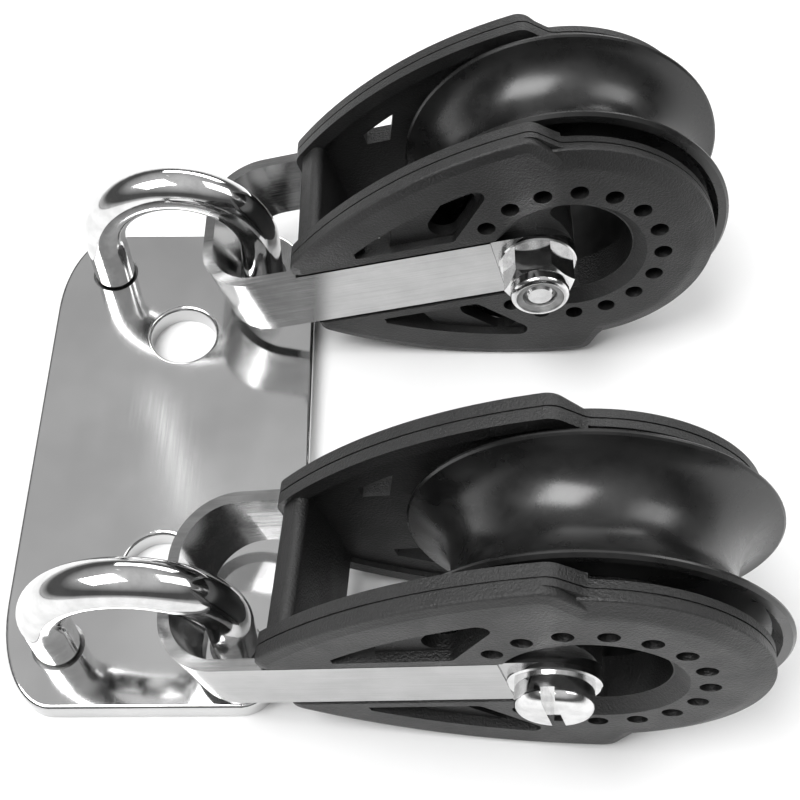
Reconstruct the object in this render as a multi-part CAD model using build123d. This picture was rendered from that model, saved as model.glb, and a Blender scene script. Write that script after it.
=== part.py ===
"""Two small ball-bearing sheave blocks shackled to the eye bows of one polished base plate.

Millimetres, +Z up. The origin is the centre of the two mounting holes on the plate's underside;
the plate's length runs along Y and both blocks lie towards +X. "Near" is the -Y side of a block
and "far" the +Y side. Each block is modelled about its sheave's centre, with +X towards its tail,
Y along the sheave's axis and -X towards the head, and is then laid in place.
"""
import os
from math import cos, radians, sin, sqrt

from build123d import *

# ---- base plate ----
PLATE_WIDTH = 25.7
PLATE_LENGTH = 50.8
PLATE_THICKNESS = 2.0
PLATE_CORNER_X = 5.0            # the corners are quarter ellipses
PLATE_CORNER_Y = 9.5
PLATE_EDGE_ROUND = 0.35
MOUNT_HOLE_RADIUS = 3.15
MOUNT_HOLE_SPACING = 25.0
MOUNT_HOLE_ROUND = 0.4

# ---- eye bows ----
ROD_RADIUS = 2.0
BOW_LEG_OFFSET = 7.55           # centre line of each leg from the middle of the bow
BOW_HEIGHT = 14.7               # centre line of the crown above the plate's underside
REAR_BOW = (0.0, 20.2)
FRONT_BOW = (-0.3, -19.85)
FOOT_HOLE_RADIUS = 2.25
WELD_DEPTH = 0.9
WELD_RADIUS = 3.1

# ---- block placing ----
REAR_BLOCK = (36.4, 19.25)
FRONT_BLOCK = (35.75, -20.3)
SHEAVE_HEIGHT = 15.33
BLOCK_PITCH = 15.5              # the tail is lifted, so the cheeks' shoulders touch the ground
REAR_YAW = -0.4
FRONT_YAW = -5.0

# ---- cheeks ----
BLOCK_THICKNESS = 15.9          # outer face to outer face
SIDE_ARC_CENTRE = (2.65, 26.9)
SIDE_ARC_RADIUS = 41.95
HEAD_REACH = 24.7
SHOULDER_REACH = 3.0
SHOULDER_LINE = 14.5            # the slanted shoulder is the line x + y = this
FACE_DROP_TOP = (-0.45, 14.85)  # the raised face ends on the line from here
FACE_DROP_FOOT = (2.6, 10.5)    # to here, which lies inside the tail's face
TAIL_RADIUS = 13.0
TAIL_FACE_RADIUS = 11.4
TAIL_BEVEL_DEPTH = 0.6
TAIL_CORNER_ROUND = 0.2
TAIL_FACE_ROUND = 2.0
FACE_BEVEL_WIDTH = 0.9
FACE_BEVEL_DEPTH = 0.25
FACE_CORNER_ROUND = 0.25
FACE_LAYER = 0.85               # depth of the raised face, which lies on the rim's outline
SHOULDER_ROUND = 1.5
HEAD_ROUND = 1.4
HEAD_WALL_INSET = 0.5
RIM_DEPTH = 2.5
TAIL_RIM_DEPTH = 2.1
TAIL_RIM_START = 1.6
WALL_DEPTH = 2.0
RIM_WIDTH = 1.3
SEAM_DEPTH = 1.35
SEAM_SIZE = 0.14
HEAD_WALL_REACH = 21.6
HEAD_WALL_ROUND = 0.7
CHANNEL_HALF_WIDTH = 3.8
CHANNEL_DEPTH = 1.1
CHANNEL_END_RADIUS = 4.6        # the channel widens into a round seat about the bolt

# ---- cheek openings ----
HUB_RADIUS = 5.8
HUB_MOUTH_RADIUS = 7.0
HUB_MOUTH_DEPTH = 1.0
HUB_MOUTH_FOOT = 5.9
HUB_OPENING_START = 0.6         # the bolt boss fills the hub as far as here
HUB_BOSS_RADIUS = 9.6
HUB_OPENING_ROUND = 0.8
FLUSH_HOLE_COUNT = 17
FLUSH_HOLE_RADIUS = 0.8
BALL_CIRCLE_RADIUS = 8.42
POCKET_DEPTH = 0.85
POCKET_INNER = 4.65             # distance of the pocket's long edge from the block's axis
POCKET_MARGIN = 3.45            # width of face left between pocket and outer edge
POCKET_TIP = -18.4
POCKET_SIDE_FOOT = -9.35
POCKET_SIDE_LEAN = 0.8          # sideways run of the pocket's slanted side per mm of height
POCKET_TOP = 12.0
POCKET_ROUND = 0.8
WINDOW_ROOT = -15.25
WINDOW_LEAN = 0.36
SLOT_LENGTH = 6.1
SLOT_WIDTH = 2.7
SLOT_CENTRE = (-8.85, 7.5)
SLOT_ANGLE = 50.0

# ---- sheave and bearing ----
SHEAVE_RADIUS = 14.5
GROOVE_RADIUS = 10.8
SHEAVE_BORE_RADIUS = 9.65
SHEAVE_BODY_HALF = 4.0
FLANGE_HALF = 4.9
FLANGE_LIP_HALF = 4.35
FLANGE_FACE_INNER = 13.55       # the flange's flat face starts at this radius
FLANGE_STEP_WIDTH = 0.7         # sloping step from the hub face up to the flange face
FLANGE_OUTER_BEVEL = 0.25
FLANGE_LIP_BEVEL = 0.15
BOSS_RADIUS = 9.3
BOSS_HALF = 3.7
RACE_RADIUS = 7.2
BALL_RADIUS = 1.16
BALLS_PER_ROW = 21
BALL_ROW_OFFSET = 1.7

# ---- strap and fastener ----
STRAP_THICKNESS = 1.0
STRAP_HALF_WIDTH = 3.45
STRAP_SINK = 0.1                # the strap lies this far below the cheek face
STRAP_REACH = 34.2
STRAP_BEND_RADIUS = 5.5
STRAP_EYE_START = -6.35
STRAP_EYE_STEP = 0.12
BOLT_X = -2.75
BOLT_RADIUS = 1.5
BOLT_HOLE_RADIUS = 1.6
WASHER_RADIUS = 3.5
WASHER_THICKNESS = 0.5
WASHER_BEVEL = 0.12
HEAD_RADIUS = 2.95
HEAD_HEIGHT = 2.2
HEAD_CROWN = 0.9
DRIVE_SLOT_WIDTH = 1.0
DRIVE_SLOT_DEPTH = 1.1
NUT_ACROSS_FLATS = 5.5
NUT_HEX_HEIGHT = 2.7
NUT_BEVEL_WIDTH = 0.57          # the corners' bevel ends this far inside them
NUT_BEVEL_HEIGHT = 0.35
NUT_HEIGHT = 3.85
NUT_COLLAR_RADIUS = 2.6
NUT_MOUTH_RADIUS = 2.15
NUT_BORE_RADIUS = 1.53
INSERT_RADIUS = 2.1
INSERT_FLOOR = 2.6
INSERT_HEIGHT = 1.0
BOLT_END = 3.6                  # height of the bolt's end above the nut's seat
BOLT_END_BEVEL = 0.45

HALF = BLOCK_THICKNESS / 2
STRAP_OUTER = HALF - STRAP_SINK
EYE_SEAT = STRAP_OUTER - STRAP_EYE_STEP


def plate_outline(inset=0.0):
    """Rounded outline of the base plate, with quarter-ellipse corners."""
    corner_x = PLATE_WIDTH / 2 - PLATE_CORNER_X
    corner_y = PLATE_LENGTH / 2 - PLATE_CORNER_Y
    quarters = [(1, 1, 0), (-1, 1, 90), (-1, -1, 180), (1, -1, 270)]
    arcs = [
        EllipticalCenterArc(
            (sx * corner_x, sy * corner_y),
            PLATE_CORNER_X - inset,
            PLATE_CORNER_Y - inset,
            start_angle=start,
            arc_size=90,
        )
        for sx, sy, start in quarters
    ]
    lines = [Line(arcs[i] @ 1, arcs[(i + 1) % 4] @ 0) for i in range(4)]
    return make_face(arcs + lines)


def foot_points():
    """Centres of the four bow feet."""
    return [(x + side * BOW_LEG_OFFSET, y) for x, y in (REAR_BOW, FRONT_BOW) for side in (-1, 1)]


def base_plate():
    plate = extrude(plate_outline(), amount=PLATE_THICKNESS)
    plate = fillet(plate.edges().group_by(Axis.Z)[-1], PLATE_EDGE_ROUND)
    for sign in (-1, 1):
        centre = (0, sign * MOUNT_HOLE_SPACING / 2, 0)
        plate -= Pos(*centre) * extrude(Circle(MOUNT_HOLE_RADIUS), amount=PLATE_THICKNESS)
    rims = plate.edges().filter_by(GeomType.CIRCLE).group_by(Axis.Z)[-1]
    plate = fillet(rims, MOUNT_HOLE_ROUND)
    for x, y in foot_points():
        plate -= Pos(x, y, 0) * extrude(Circle(FOOT_HOLE_RADIUS), amount=PLATE_THICKNESS)
        plate -= Pos(x, y, 0) * weld_cone()
    return plate


def weld_cone():
    """The tapered seat under a foot, from the plate's underside up."""
    return Pos(0, 0, WELD_DEPTH / 2) * Cone(WELD_RADIUS, FOOT_HOLE_RADIUS, WELD_DEPTH)


def welds():
    """Weld metal that fills the tapered seats around the feet."""
    rings = [
        Pos(x, y, 0) * (weld_cone() - extrude(Circle(ROD_RADIUS), amount=WELD_DEPTH))
        for x, y in foot_points()
    ]
    return Compound(children=[ring.solid() for ring in rings])


def eye_bow(x, y):
    """Round rod bent into an arch, standing in the plate on two feet."""
    spring = BOW_HEIGHT - BOW_LEG_OFFSET
    left = Line((-BOW_LEG_OFFSET, 0, 0), (-BOW_LEG_OFFSET, 0, spring))
    crown = ThreePointArc(
        (-BOW_LEG_OFFSET, 0, spring), (0, 0, BOW_HEIGHT), (BOW_LEG_OFFSET, 0, spring)
    )
    right = Line((BOW_LEG_OFFSET, 0, spring), (BOW_LEG_OFFSET, 0, 0))
    path = Wire([left, crown, right])
    section = Plane(origin=(-BOW_LEG_OFFSET, 0, 0), z_dir=(0, 0, 1)) * Circle(ROD_RADIUS)
    return Pos(x, y, 0) * sweep(section, path=path)


def head_shape(foot, top_point, inset=0.0):
    """Head end of a cheek: arched sides, cut off by the line through two points and its mirror."""
    arc_x, arc_y = SIDE_ARC_CENTRE
    radius = SIDE_ARC_RADIUS - inset
    sides = Pos(arc_x, -arc_y) * Circle(radius) & Pos(arc_x, arc_y) * Circle(radius)
    left = -HEAD_REACH + inset
    top = 2 * TAIL_RADIUS
    lean = (foot[0] - top_point[0]) / (top_point[1] - foot[1])
    upper = [foot, (foot[0] - lean * (top - foot[1]), top), (left, top)]
    lower = [(x, -y) for x, y in reversed(upper)]
    return sides & make_face(Polyline(*upper, *lower, close=True))


def cheek_outline(inset=0.0):
    """Outline of a cheek seen from outside: X towards the tail, Y across the block."""
    slope = SHOULDER_LINE - inset * sqrt(2)
    foot = (SHOULDER_REACH, slope - SHOULDER_REACH)
    outline = head_shape(foot, (0, slope), inset) + Circle(TAIL_RADIUS - inset)
    shoulders = outline.vertices().filter_by(lambda v: -HEAD_REACH + inset < 2 * v.X < TAIL_RADIUS)
    outline = fillet(shoulders, SHOULDER_ROUND - inset / 2)
    return fillet(outline.vertices().group_by(Axis.X)[0], HEAD_ROUND)


def raised_face():
    """Outer layer of the head end, its edge sloping gently to a rounded corner."""
    outline = head_shape(FACE_DROP_FOOT, FACE_DROP_TOP)
    crests = outline.vertices().group_by(Axis.Y)
    outline = fillet(crests[0] + crests[-1], SHOULDER_ROUND)
    outline = fillet(outline.vertices().group_by(Axis.X)[0], HEAD_ROUND)
    layer = extrude(outline, amount=FACE_LAYER)
    face = layer.faces().sort_by(Axis.Z)[0]
    layer = chamfer(face.edges(), FACE_BEVEL_WIDTH, FACE_BEVEL_DEPTH, reference=face)
    corner = layer.edges().filter_by(lambda e: abs(e.center().Z - FACE_BEVEL_DEPTH) < SEAM_SIZE / 2)
    return fillet(corner, FACE_CORNER_ROUND)


def tail_disc():
    """Round tail end: a shallow cone behind the face, with softened edges."""
    cone = Pos(0, 0, TAIL_BEVEL_DEPTH / 2) * Cone(TAIL_FACE_RADIUS, TAIL_RADIUS, TAIL_BEVEL_DEPTH)
    disc = cone + slab(Circle(TAIL_RADIUS), TAIL_BEVEL_DEPTH, TAIL_RIM_DEPTH)
    corner = disc.edges().filter_by(lambda e: abs(e.center().Z - TAIL_BEVEL_DEPTH) < SEAM_SIZE / 2)
    disc = fillet(corner.filter_by(GeomType.CIRCLE), TAIL_CORNER_ROUND)
    return fillet(disc.edges().group_by(Axis.Z)[0], TAIL_FACE_ROUND)


def slab(sketch, start, depth):
    """Extrude a sketch inwards, from one depth below the cheek face to another."""
    return Pos(0, 0, start) * extrude(sketch, amount=depth - start)


def seam_groove():
    """Fine parting groove around the cheek's edge."""
    ring = cheek_outline() - cheek_outline(SEAM_SIZE)
    return slab(ring, SEAM_DEPTH, SEAM_DEPTH + SEAM_SIZE)


def pocket_outline():
    """Long triangular recess beside the strap, on the +Y side."""
    arc_x, arc_y = SIDE_ARC_CENTRE
    arc = Pos(arc_x, -arc_y) * Circle(SIDE_ARC_RADIUS - POCKET_MARGIN)
    wedge = make_face(
        Polyline(
            (POCKET_TIP, POCKET_INNER),
            (POCKET_SIDE_FOOT, POCKET_INNER),
            (POCKET_SIDE_FOOT + POCKET_SIDE_LEAN * (POCKET_TOP - POCKET_INNER), POCKET_TOP),
            (POCKET_TIP, POCKET_TOP),
            close=True,
        )
    )
    pocket = arc & wedge
    return fillet(pocket.vertices().sort_by(Axis.X)[-2:], POCKET_ROUND)


def window_outline():
    """Opening through the head end of the pocket."""
    area = make_face(
        Polyline(
            (POCKET_TIP + POCKET_DEPTH, POCKET_INNER),
            (WINDOW_ROOT, POCKET_INNER),
            (WINDOW_ROOT + WINDOW_LEAN * (POCKET_TOP - POCKET_INNER), POCKET_TOP),
            (POCKET_TIP + POCKET_DEPTH, POCKET_TOP),
            close=True,
        )
    )
    return area & pocket_outline()


def slot_outline():
    """Oblong opening through the cheek, along the pocket's slanted side."""
    slot = Rot(0, 0, SLOT_ANGLE) * SlotOverall(SLOT_LENGTH, SLOT_WIDTH)
    return (Pos(*SLOT_CENTRE) * slot) & pocket_outline()


def hub_opening():
    """Crescent left open beside the bolt boss."""
    boss = Pos(HUB_OPENING_START - HUB_BOSS_RADIUS, 0) * Circle(HUB_BOSS_RADIUS)
    crescent = Circle(HUB_RADIUS) - boss
    return fillet(crescent.vertices(), HUB_OPENING_ROUND)


def flush_holes():
    """Centres of the small holes over the balls that the strap leaves uncovered."""
    angles = [radians(180 + 360 * i / FLUSH_HOLE_COUNT) for i in range(FLUSH_HOLE_COUNT)]
    points = [(BALL_CIRCLE_RADIUS * cos(a), BALL_CIRCLE_RADIUS * sin(a)) for a in angles]
    return [(x, y) for x, y in points if x > 0 or abs(y) > CHANNEL_HALF_WIDTH]


def cheek_flat():
    """A cheek lying face down on the XY plane: its outer face at Z 0, its depth along +Z."""
    behind_tail = Pos(TAIL_RIM_START + TAIL_RADIUS, 0) * Rectangle(2 * TAIL_RADIUS, 3 * TAIL_RADIUS)
    body = slab(cheek_outline(), FACE_LAYER, RIM_DEPTH)
    body += raised_face()
    body += tail_disc()
    body -= slab(behind_tail, TAIL_RIM_DEPTH, RIM_DEPTH)
    body -= seam_groove()
    body -= slab(cheek_outline(RIM_WIDTH), WALL_DEPTH, RIM_DEPTH)
    body += slab(Circle(BOSS_RADIUS), WALL_DEPTH, HALF - BOSS_HALF)
    head_box = Pos(-HEAD_WALL_REACH - HEAD_REACH / 2, 0) * Rectangle(HEAD_REACH, HEAD_REACH)
    head_wall = slab(cheek_outline(HEAD_WALL_INSET) & head_box, WALL_DEPTH, HALF)
    head_wall = fillet(
        head_wall.edges().filter_by(Axis.Z).group_by(Axis.X)[-1], HEAD_WALL_ROUND
    )
    body += head_wall
    body -= strap_channel()
    mouth = Cone(HUB_MOUTH_RADIUS, HUB_MOUTH_FOOT, HUB_MOUTH_DEPTH)
    body -= Pos(0, 0, HUB_MOUTH_DEPTH / 2) * mouth
    body -= slab(hub_opening(), 0, HALF)
    body -= slab(Pos(BOLT_X, 0) * Circle(BOLT_HOLE_RADIUS), 0, HALF)
    for x, y in flush_holes():
        body -= slab(Pos(x, y) * Circle(FLUSH_HOLE_RADIUS), 0, HALF - BOSS_HALF)
    for side in (1, -1):
        pocket = slab(pocket_outline(), 0, POCKET_DEPTH)
        pocket += slab(window_outline(), 0, RIM_DEPTH)
        pocket += slab(slot_outline(), 0, RIM_DEPTH)
        body -= pocket if side > 0 else mirror(pocket, about=Plane.XZ)
    return body


def strap_channel():
    """Channel in the cheek face that the strap lies in."""
    length = HEAD_REACH + BOLT_X + STRAP_THICKNESS
    run = Pos(BOLT_X - length / 2, 0) * Rectangle(length, 2 * CHANNEL_HALF_WIDTH)
    end = Pos(BOLT_X, 0) * Circle(CHANNEL_END_RADIUS)
    return slab(run + end, 0, CHANNEL_DEPTH)


def near_side(flat):
    """Stand a piece drawn face down on the block's near side."""
    return Pos(0, -HALF, 0) * Rot(-90, 0, 0) * flat


def far_side(flat):
    """Stand a piece drawn face down on the block's far side."""
    return Pos(0, HALF, 0) * Rot(90, 0, 0) * flat


def sheave():
    """Grooved wheel, turned about Y."""
    half_profile = [
        (SHEAVE_BORE_RADIUS, SHEAVE_BODY_HALF),
        (FLANGE_FACE_INNER - FLANGE_STEP_WIDTH, SHEAVE_BODY_HALF),
        (FLANGE_FACE_INNER, FLANGE_HALF),
        (SHEAVE_RADIUS - FLANGE_OUTER_BEVEL, FLANGE_HALF),
        (SHEAVE_RADIUS, FLANGE_HALF - FLANGE_OUTER_BEVEL),
        (SHEAVE_RADIUS, FLANGE_LIP_HALF + FLANGE_LIP_BEVEL),
        (SHEAVE_RADIUS - FLANGE_LIP_BEVEL, FLANGE_LIP_HALF),
    ]
    upper = Polyline(*half_profile)
    lower = Polyline(*[(r, -y) for r, y in half_profile])
    groove = ThreePointArc(upper @ 1, (GROOVE_RADIUS, 0), lower @ 1)
    bore = Line(upper @ 0, lower @ 0)
    return revolve(make_face([upper, groove, lower, bore]), axis=Axis.Y)


def across(radius, start, end):
    """Round bar along Y between two offsets from the block's middle."""
    low, high = min(start, end), max(start, end)
    bar = Rot(-90, 0, 0) * extrude(Circle(radius), amount=high - low)
    return Pos(0, low, 0) * bar


def inner_race():
    """Fixed core that the balls run on, with the bolt's boss inside it."""
    core = Circle(RACE_RADIUS) - hub_opening() - Pos(BOLT_X, 0) * Circle(BOLT_HOLE_RADIUS)
    bar = Rot(-90, 0, 0) * extrude(core, amount=2 * BOSS_HALF)
    return Pos(0, -BOSS_HALF, 0) * bar


def ball_row(offset):
    """One ring of separate balls between core and sheave."""
    step = 360 / BALLS_PER_ROW
    ball = Pos(BALL_CIRCLE_RADIUS, offset, 0) * Sphere(BALL_RADIUS)
    balls = [(Rot(0, step * i, 0) * ball).solid() for i in range(BALLS_PER_ROW)]
    return Compound(children=balls)


def strap():
    """Flat strip bent into a U around the head, its two eyes on the bolt."""
    length = STRAP_REACH + BOLT_X
    centre = BOLT_X - length / 2

    def u_area(inset):
        size = Rectangle(length - inset, 2 * (STRAP_OUTER - inset))
        area = Pos(centre + inset / 2, 0) * size
        return fillet(area.vertices().group_by(Axis.X)[0], STRAP_BEND_RADIUS - inset)

    bent = extrude(u_area(0) - u_area(STRAP_THICKNESS), amount=STRAP_HALF_WIDTH, both=True)
    outer = across(STRAP_HALF_WIDTH, -STRAP_OUTER, STRAP_OUTER)
    inner_face = STRAP_OUTER - STRAP_THICKNESS
    bent += Pos(BOLT_X, 0, 0) * (outer - across(STRAP_HALF_WIDTH, -inner_face, inner_face))
    bent -= Pos(BOLT_X, 0, 0) * across(BOLT_HOLE_RADIUS, -HALF, HALF)
    eye_length = 4 * STRAP_HALF_WIDTH
    for side in (-1, 1):
        y = side * (STRAP_OUTER - STRAP_EYE_STEP / 2)
        step = Box(eye_length, STRAP_EYE_STEP, eye_length)
        bent -= Pos(STRAP_EYE_START + eye_length / 2, y, 0) * step
    return bent


def washer(seat, side):
    """Flat washer on the strap's eye."""
    ring = Circle(WASHER_RADIUS) - Circle(BOLT_HOLE_RADIUS)
    disc = extrude(ring, amount=WASHER_THICKNESS)
    rim = disc.edges().filter_by(GeomType.CIRCLE).group_by(Axis.Z)[-1].sort_by(SortBy.RADIUS)[-1]
    disc = chamfer(rim, WASHER_BEVEL)
    return Pos(BOLT_X, side * seat, 0) * Rot(-90 * side, 0, 0) * disc


def bolt(head_side):
    """Slotted pan-head screw through both cheeks, its head on one side of the block."""
    seat = EYE_SEAT + WASHER_THICKNESS
    shank = across(BOLT_RADIUS, head_side * seat, -head_side * (seat + BOLT_END))
    tip = shank.edges().filter_by(GeomType.CIRCLE).sort_by(Axis.Y)[0 if head_side > 0 else -1]
    shank = chamfer(tip, BOLT_END_BEVEL)
    head = extrude(Circle(HEAD_RADIUS), amount=HEAD_HEIGHT)
    head = fillet(head.edges().group_by(Axis.Z)[-1], HEAD_CROWN)
    slot = Box(DRIVE_SLOT_WIDTH, 3 * HEAD_RADIUS, DRIVE_SLOT_DEPTH)
    head -= Pos(0, 0, HEAD_HEIGHT - DRIVE_SLOT_DEPTH / 2) * slot
    head = Pos(0, head_side * seat, 0) * Rot(-90 * head_side, 0, 0) * head
    return Pos(BOLT_X, 0, 0) * (shank + head)


def lock_nut(side):
    """Hexagon nut with a round collar around its locking ring."""
    hexagon = RegularPolygon(NUT_ACROSS_FLATS / 2, 6, major_radius=False)
    nut = extrude(hexagon, amount=NUT_HEX_HEIGHT)
    corner = NUT_ACROSS_FLATS / sqrt(3)
    flare = NUT_BEVEL_WIDTH / NUT_BEVEL_HEIGHT * NUT_HEX_HEIGHT
    crown = Cone(corner - NUT_BEVEL_WIDTH + flare, corner - NUT_BEVEL_WIDTH, NUT_HEX_HEIGHT)
    nut &= Pos(0, 0, NUT_HEX_HEIGHT / 2) * crown
    collar = extrude(Circle(NUT_COLLAR_RADIUS), amount=NUT_HEIGHT)
    collar = fillet(collar.edges().group_by(Axis.Z)[-1], NUT_COLLAR_RADIUS - NUT_MOUTH_RADIUS)
    nut += collar
    nut -= extrude(Circle(NUT_BORE_RADIUS), amount=NUT_HEIGHT)
    nut -= Pos(0, 0, INSERT_FLOOR) * extrude(Circle(INSERT_RADIUS), amount=NUT_HEIGHT)
    return on_seat(nut, side)


def nut_insert(side):
    """Plastic locking ring inside the nut's collar."""
    ring = extrude(Circle(INSERT_RADIUS) - Circle(NUT_BORE_RADIUS), amount=INSERT_HEIGHT)
    return on_seat(Pos(0, 0, INSERT_FLOOR) * ring, side)


def on_seat(piece, side):
    """Stand a piece drawn upright on the outer face of the washer on one side."""
    seat = EYE_SEAT + WASHER_THICKNESS
    return Pos(BOLT_X, side * seat, 0) * Rot(-90 * side, 0, 0) * piece


def block(head_side):
    """All pieces of one block about its sheave's centre; the bolt's head is on one side."""
    flat = cheek_flat()
    return {
        "near_cheek": near_side(flat),
        "far_cheek": far_side(flat),
        "sheave": sheave(),
        "near_balls": ball_row(-BALL_ROW_OFFSET),
        "far_balls": ball_row(BALL_ROW_OFFSET),
        "inner_race": inner_race(),
        "strap": strap(),
        "bolt": bolt(head_side),
        "head_washer": washer(EYE_SEAT, head_side),
        "nut_washer": washer(EYE_SEAT, -head_side),
        "lock_nut": lock_nut(-head_side),
        "nut_insert": nut_insert(-head_side),
    }


def placed(position, yaw):
    """Where a block lies: turned about Z, its tail lifted."""
    return Pos(position[0], position[1], SHEAVE_HEIGHT) * Rot(0, 0, yaw) * Rot(0, -BLOCK_PITCH, 0)


def all_parts():
    parts = {
        "base_plate": base_plate(),
        "rear_eye_bow": eye_bow(*REAR_BOW),
        "front_eye_bow": eye_bow(*FRONT_BOW),
        "eye_bow_welds": welds(),
    }
    for name, position, yaw, head_side in (
        ("rear", REAR_BLOCK, REAR_YAW, 1),
        ("front", FRONT_BLOCK, FRONT_YAW, -1),
    ):
        place = placed(position, yaw)
        for piece, shape in block(head_side).items():
            parts[f"{name}_{piece}"] = place * shape
    return parts


os.makedirs("parts", exist_ok=True)
for node, shape in all_parts().items():
    export_step(shape, f"parts/{node}.step")
    box = shape.bounding_box()
    print(node, round(shape.volume, 2), [round(v, 2) for v in (*box.min, *box.max)])
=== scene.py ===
"""Looks of the double sheave block: materials, light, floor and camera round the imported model."""

import math

import bmesh
import bpy
from mathutils import Euler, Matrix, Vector


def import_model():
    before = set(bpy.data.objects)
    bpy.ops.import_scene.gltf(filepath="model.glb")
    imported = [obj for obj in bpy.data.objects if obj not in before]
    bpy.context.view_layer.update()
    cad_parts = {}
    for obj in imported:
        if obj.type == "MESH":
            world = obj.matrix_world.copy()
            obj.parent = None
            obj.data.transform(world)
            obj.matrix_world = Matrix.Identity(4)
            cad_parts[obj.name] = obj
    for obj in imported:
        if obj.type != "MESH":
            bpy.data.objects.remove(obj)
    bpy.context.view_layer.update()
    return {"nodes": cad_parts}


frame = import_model()

MM = 0.001
BLOCKS = ("rear", "front")

# Each block's own axes in the row frame: pitched about Y, then turned about Z.
PITCH = math.radians(15.5)
YAW = {"rear": math.radians(-0.4), "front": math.radians(-5.0)}

# Noise values mostly lie between these two, so they are spread over the whole wanted range.
NOISE_LOW = 0.3
NOISE_HIGH = 0.7
CLOUD_ROUGHNESS = 0.12


# ---------------------------------------------------------------- node helpers

class Look:
    """A node material round one Principled BSDF, its textures placed in the object's own metres."""

    def __init__(self, name, **constants):
        self.material = bpy.data.materials.new(name)
        self.material.use_nodes = True
        self.tree = self.material.node_tree
        self.surface = self.tree.nodes["Principled BSDF"]
        self.place = self.tree.nodes.new("ShaderNodeTexCoord").outputs["Object"]
        for socket, value in constants.items():
            self.surface.inputs[socket.replace("_", " ")].default_value = value

    def add(self, kind, inputs=(), **settings):
        """A new node; each input is either linked from a socket or set to a value."""
        node = self.tree.nodes.new(kind)
        for key, value in settings.items():
            setattr(node, key, value)
        for key, value in dict(inputs).items():
            if isinstance(value, bpy.types.NodeSocket):
                self.tree.links.new(value, node.inputs[key])
            else:
                node.inputs[key].default_value = value
        return node

    def stretched(self, stretch, turn=(0.0, 0.0, 0.0)):
        """The place, first turned about the axes and then stretched along the turned ones."""
        turned = self.add("ShaderNodeMapping", {"Vector": self.place, "Rotation": turn})
        scaled = self.add("ShaderNodeMapping", {"Vector": turned.outputs[0], "Scale": stretch})
        return scaled.outputs[0]

    def noise(self, scale, detail=2.0, rough=0.5, place=None):
        """Cloudy noise with about scale features per metre of the place."""
        shape = {"Scale": scale, "Detail": detail, "Roughness": rough}
        node = self.add("ShaderNodeTexNoise", {"Vector": place or self.place, **shape})
        return node.outputs["Fac"]

    def streaks(self, per_metre, detail=2.0, rough=0.5, turn=(0.0, 0.0, 0.0)):
        """Noise with its own number of features per metre along each axis."""
        return self.noise(scale=1.0, detail=detail, rough=rough, place=self.stretched(per_metre, turn))

    def cells(self, scale):
        """Small round pits, about scale of them per metre."""
        node = self.add("ShaderNodeTexVoronoi", {"Vector": self.place, "Scale": scale})
        return node.outputs["Distance"]

    def vary(self, value, low, high):
        """The noise value stretched to run smoothly from low to high."""
        ends = {"From Min": NOISE_LOW, "From Max": NOISE_HIGH, "To Min": low, "To Max": high}
        node = self.add(
            "ShaderNodeMapRange", {"Value": value, **ends}, interpolation_type="SMOOTHSTEP"
        )
        return node.outputs[0]

    def mean(self, a, b):
        """Half the sum of two values."""
        total = self.add("ShaderNodeMath", {0: a, 1: b}, operation="ADD").outputs[0]
        return self.add("ShaderNodeMath", {0: total, 1: 0.5}, operation="MULTIPLY").outputs[0]

    def greys(self, value, dark, light):
        """Base colour running from a dark to a light grey with the noise value."""
        node = self.add("ShaderNodeMix", data_type="RGBA")
        sockets = {socket.identifier: socket for socket in (*node.inputs, *node.outputs)}
        self.tree.links.new(self.vary(value, low=0.0, high=1.0), sockets["Factor_Float"])
        sockets["A_Color"].default_value = grey(dark)
        sockets["B_Color"].default_value = grey(light)
        self.tree.links.new(sockets["Result_Color"], self.surface.inputs["Base Color"])

    def roughness(self, value, smooth, rough):
        """Roughness running from smooth to rough with the noise value."""
        self.tree.links.new(self.vary(value, smooth, rough), self.surface.inputs["Roughness"])

    def bump(self, height, strength, depth, below=None):
        """Raised and sunken grain; a coarser relief given as below lies under it."""
        heights = {"Height": height, "Strength": strength, "Distance": depth}
        node = self.add("ShaderNodeBump", heights)
        if below is not None:
            self.tree.links.new(below, node.inputs["Normal"])
        return node.outputs[0]

    def relief(self, normal):
        """Give the surface the normal that the last bump has made."""
        self.tree.links.new(normal, self.surface.inputs["Normal"])


def grey(value):
    """An opaque grey as red, green, blue and alpha."""
    return (value, value, value, 1.0)


# ---------------------------------------------------------------- materials

def plate_steel():
    """Polished sheet: broad soft bands along the plate, faint smears and fine polishing lines."""
    look = Look("plate_steel", Metallic=1.0)
    bands = look.streaks((90.0, 10.0, 40.0))
    lines = look.streaks((5200.0, 90.0, 300.0))
    smears = look.noise(scale=95.0, detail=3.0, rough=0.55)
    look.greys(look.mean(bands, smears), dark=0.54, light=0.68)
    look.roughness(look.mean(lines, smears), smooth=0.08, rough=0.13)
    swell = look.streaks((70.0, 14.0, 60.0), detail=1.0, rough=0.4)
    waves = look.bump(swell, strength=0.3, depth=0.5 * MM)
    look.relief(look.bump(lines, strength=0.03, depth=0.02 * MM, below=waves))
    return look.material


def rod_steel():
    """Mirror-polished rod: slight ripples from drawing and polishing."""
    look = Look("rod_steel", Metallic=1.0)
    ripples = look.noise(scale=260.0)
    smears = look.noise(scale=700.0, detail=3.0, rough=0.6)
    look.greys(smears, dark=0.60, light=0.72)
    look.roughness(smears, smooth=0.05, rough=0.11)
    look.relief(look.bump(ripples, strength=0.12, depth=0.25 * MM))
    return look.material


def weld_steel():
    """Ground-down weld bead, rough and a little dull."""
    look = Look("weld_steel", Metallic=1.0)
    bead = look.noise(scale=2200.0, detail=4.0, rough=0.7)
    look.greys(bead, dark=0.30, light=0.50)
    look.roughness(bead, smooth=0.28, rough=0.5)
    look.relief(look.bump(bead, strength=0.5, depth=0.06 * MM))
    return look.material


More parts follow.
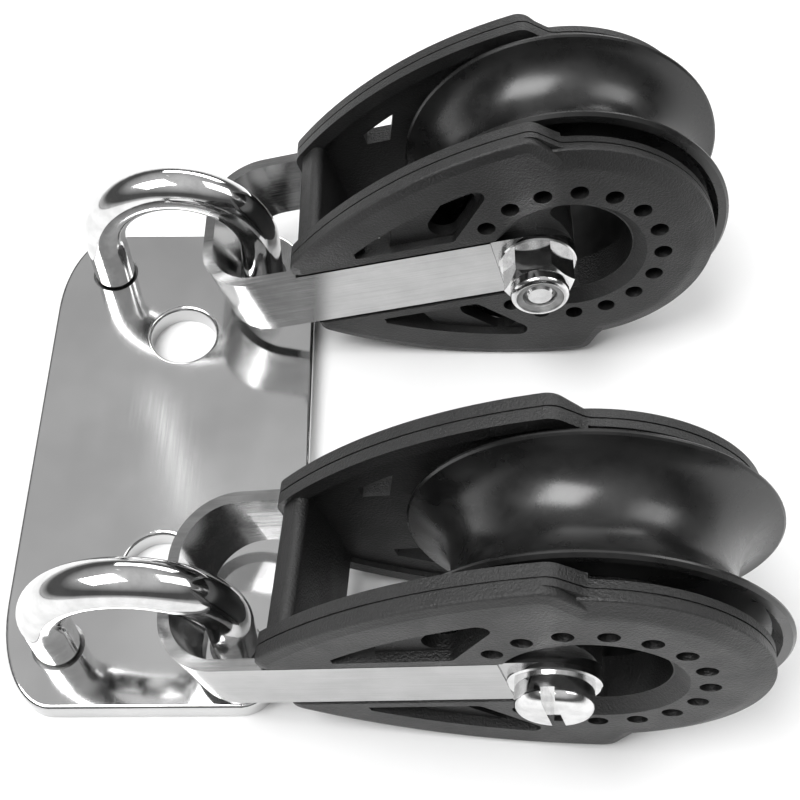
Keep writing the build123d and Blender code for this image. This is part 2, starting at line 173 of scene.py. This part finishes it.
def strap_steel(block):
    """Fine-brushed strip with its grain very nearly along the strap."""
    look = Look(f"{block}_strap_steel", Metallic=1.0)
    turn = (0.0, PITCH, -YAW[block])
    grain = look.streaks((120.0, 6500.0, 6500.0), detail=3.0, rough=0.6, turn=turn)
    smears = look.noise(scale=260.0, detail=3.0, rough=0.6)
    look.greys(look.mean(grain, smears), dark=0.40, light=0.53)
    look.roughness(look.mean(grain, smears), smooth=0.14, rough=0.26)
    look.relief(look.bump(grain, strength=0.12, depth=0.02 * MM))
    return look.material


def fastener_steel():
    """Plated screws, nuts and washers with small handling marks."""
    look = Look("fastener_steel", Metallic=1.0)
    smears = look.noise(scale=900.0, detail=4.0, rough=0.6)
    marks = look.streaks((1800.0, 5200.0, 2400.0), rough=0.6)
    look.greys(smears, dark=0.62, light=0.80)
    look.roughness(smears, smooth=0.07, rough=0.17)
    look.relief(look.bump(marks, strength=0.12, depth=0.03 * MM))
    return look.material


def cheek_plastic():
    """Filled plastic: a fine grained face with small pits."""
    look = Look("cheek_plastic", IOR=1.58)
    grain = look.noise(scale=5000.0, detail=3.0, rough=0.6)
    cloud = look.noise(scale=240.0, detail=3.0, rough=0.55)
    look.greys(look.mean(grain, cloud), dark=0.002, light=0.010)
    look.roughness(cloud, smooth=0.42, rough=0.56)
    pits = look.bump(look.cells(scale=7000.0), strength=0.25, depth=0.03 * MM)
    look.relief(look.bump(grain, strength=0.85, depth=0.11 * MM, below=pits))
    return look.material


def sheave_plastic(block):
    """Satin plastic with soft rubbed patches."""
    look = Look(f"{block}_sheave_plastic", IOR=1.62)
    cloud = look.noise(scale=300.0, detail=3.0, rough=0.6)
    look.greys(cloud, dark=0.006, light=0.013)
    look.roughness(cloud, smooth=0.24, rough=0.34)
    fine = look.noise(scale=4200.0, rough=0.6)
    look.relief(look.bump(fine, strength=0.12, depth=0.03 * MM))
    return look.material


def plain_plastic(name, dark, light, smooth):
    """Moulded plastic of one shade with a slight cloud."""
    look = Look(name, IOR=1.5)
    cloud = look.noise(scale=900.0, detail=3.0, rough=0.6)
    look.greys(cloud, dark=dark, light=light)
    look.roughness(cloud, smooth=smooth, rough=smooth + CLOUD_ROUGHNESS)
    look.relief(look.bump(look.noise(scale=3000.0), strength=0.15, depth=0.03 * MM))
    return look.material


def give(node, material):
    """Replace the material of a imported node."""
    data = frame["nodes"][node].data
    data.materials.clear()
    data.materials.append(material)


def dress():
    """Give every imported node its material."""
    give("base_plate", plate_steel())
    rod = rod_steel()
    give("rear_eye_bow", rod)
    give("front_eye_bow", rod)
    give("eye_bow_welds", weld_steel())
    race = plain_plastic("race_plastic", dark=0.003, light=0.009, smooth=0.36)
    ball = plain_plastic("ball_plastic", dark=0.02, light=0.04, smooth=0.18)
    insert = plain_plastic("insert_plastic", dark=0.34, light=0.5, smooth=0.4)
    shared = (
        (fastener_steel(), ("bolt", "head_washer", "nut_washer", "lock_nut")),
        (cheek_plastic(), ("near_cheek", "far_cheek")),
        (race, ("inner_race",)),
        (ball, ("near_balls", "far_balls")),
        (insert, ("nut_insert",)),
    )
    for block in BLOCKS:
        for material, parts in shared:
            for part in parts:
                give(f"{block}_{part}", material)
        give(f"{block}_strap", strap_steel(block))
        give(f"{block}_sheave", sheave_plastic(block))


# ---------------------------------------------------------------- studio

# Brightness of the sky over the sine of the height above the horizon.
SKY_STOPS = (
    (0.0, 0.7), (0.06, 0.5), (0.16, 0.10), (0.42, 0.10), (0.62, 0.38), (0.86, 0.62), (1.0, 0.7),
)
# Name, place, width, height and power of each light. The thin strip draws a streak on the plate.
SOFTBOXES = (
    ("key_softbox", (-0.22, -0.10, 0.5), 0.34, 0.34, 3.2),
    ("fill_softbox", (0.40, 0.08, 0.45), 0.3, 0.3, 1.0),
    ("back_softbox", (0.10, 0.52, 0.30), 0.5, 0.16, 1.4),
    ("strip_light", (-0.10, 0.29, 0.5), 0.005, 0.07, 0.0025),
)
LIGHT_AIM = (0.02, 0.0, 0.012)
FLOOR_RADIUS = 2.5
FLOOR_DROP = 0.05 * MM
FLOOR_SIDES = 96
CAMERA_PLACE = Vector((20.942, -60.698, 104.085)) * MM
CAMERA_TURN = [math.radians(angle) for angle in (32.654, 0.023, -0.337)]
CAMERA_LENS = 57.215
SENSOR = 36.0
NEAREST = 0.005
FARTHEST = 10.0


def world():
    """A soft studio sky: pale at the horizon, a dim band above it, light grey overhead."""
    sky = bpy.data.worlds.new("studio")
    bpy.context.scene.world = sky
    sky.use_nodes = True
    nodes, links = sky.node_tree.nodes, sky.node_tree.links
    direction = nodes.new("ShaderNodeTexCoord").outputs["Generated"]
    height = nodes.new("ShaderNodeSeparateXYZ")
    ramp = nodes.new("ShaderNodeValToRGB")
    links.new(direction, height.inputs[0])
    links.new(height.outputs["Z"], ramp.inputs["Fac"])
    # New stops may start anywhere, because each one is then moved to its own position.
    elements = ramp.color_ramp.elements
    while len(elements) < len(SKY_STOPS):
        elements.new(SKY_STOPS[-1][0])
    for element, (position, value) in zip(elements, SKY_STOPS):
        element.position = position
        element.color = grey(value)
    links.new(ramp.outputs["Color"], nodes["Background"].inputs["Color"])


def softbox(name, place, width, height, power):
    """A rectangular light aimed at the middle of the model."""
    light = bpy.data.lights.new(name, "AREA")
    light.shape = "RECTANGLE"
    light.size, light.size_y = width, height
    light.energy = power
    lamp = bpy.data.objects.new(name, light)
    bpy.context.scene.collection.objects.link(lamp)
    lamp.location = place
    towards = Vector(LIGHT_AIM) - Vector(place)
    lamp.rotation_euler = towards.to_track_quat("-Z", "Y").to_euler()


def floor():
    """Pale paper just below the model."""
    mesh = bpy.data.meshes.new("floor")
    shape = bmesh.new()
    bmesh.ops.create_circle(shape, cap_ends=True, segments=FLOOR_SIDES, radius=FLOOR_RADIUS)
    shape.to_mesh(mesh)
    shape.free()
    ground = bpy.data.objects.new("floor", mesh)
    bpy.context.scene.collection.objects.link(ground)
    ground.location = (0.0, 0.0, -FLOOR_DROP)
    look = Look("floor_paper", Roughness=0.85)
    look.greys(look.noise(scale=30.0), dark=0.86, light=0.88)
    mesh.materials.append(look.material)


def camera():
    """Camera at the photograph's angle."""
    lens = bpy.data.cameras.new("camera")
    lens.sensor_width = SENSOR
    lens.lens = CAMERA_LENS
    lens.clip_start = NEAREST
    lens.clip_end = FARTHEST
    viewer = bpy.data.objects.new("camera", lens)
    bpy.context.scene.collection.objects.link(viewer)
    viewer.location = CAMERA_PLACE
    viewer.rotation_euler = Euler(CAMERA_TURN)
    bpy.context.scene.camera = viewer


dress()
world()
floor()
for box in SOFTBOXES:
    softbox(*box)
camera()
bpy.context.scene.view_settings.view_transform = "Standard"
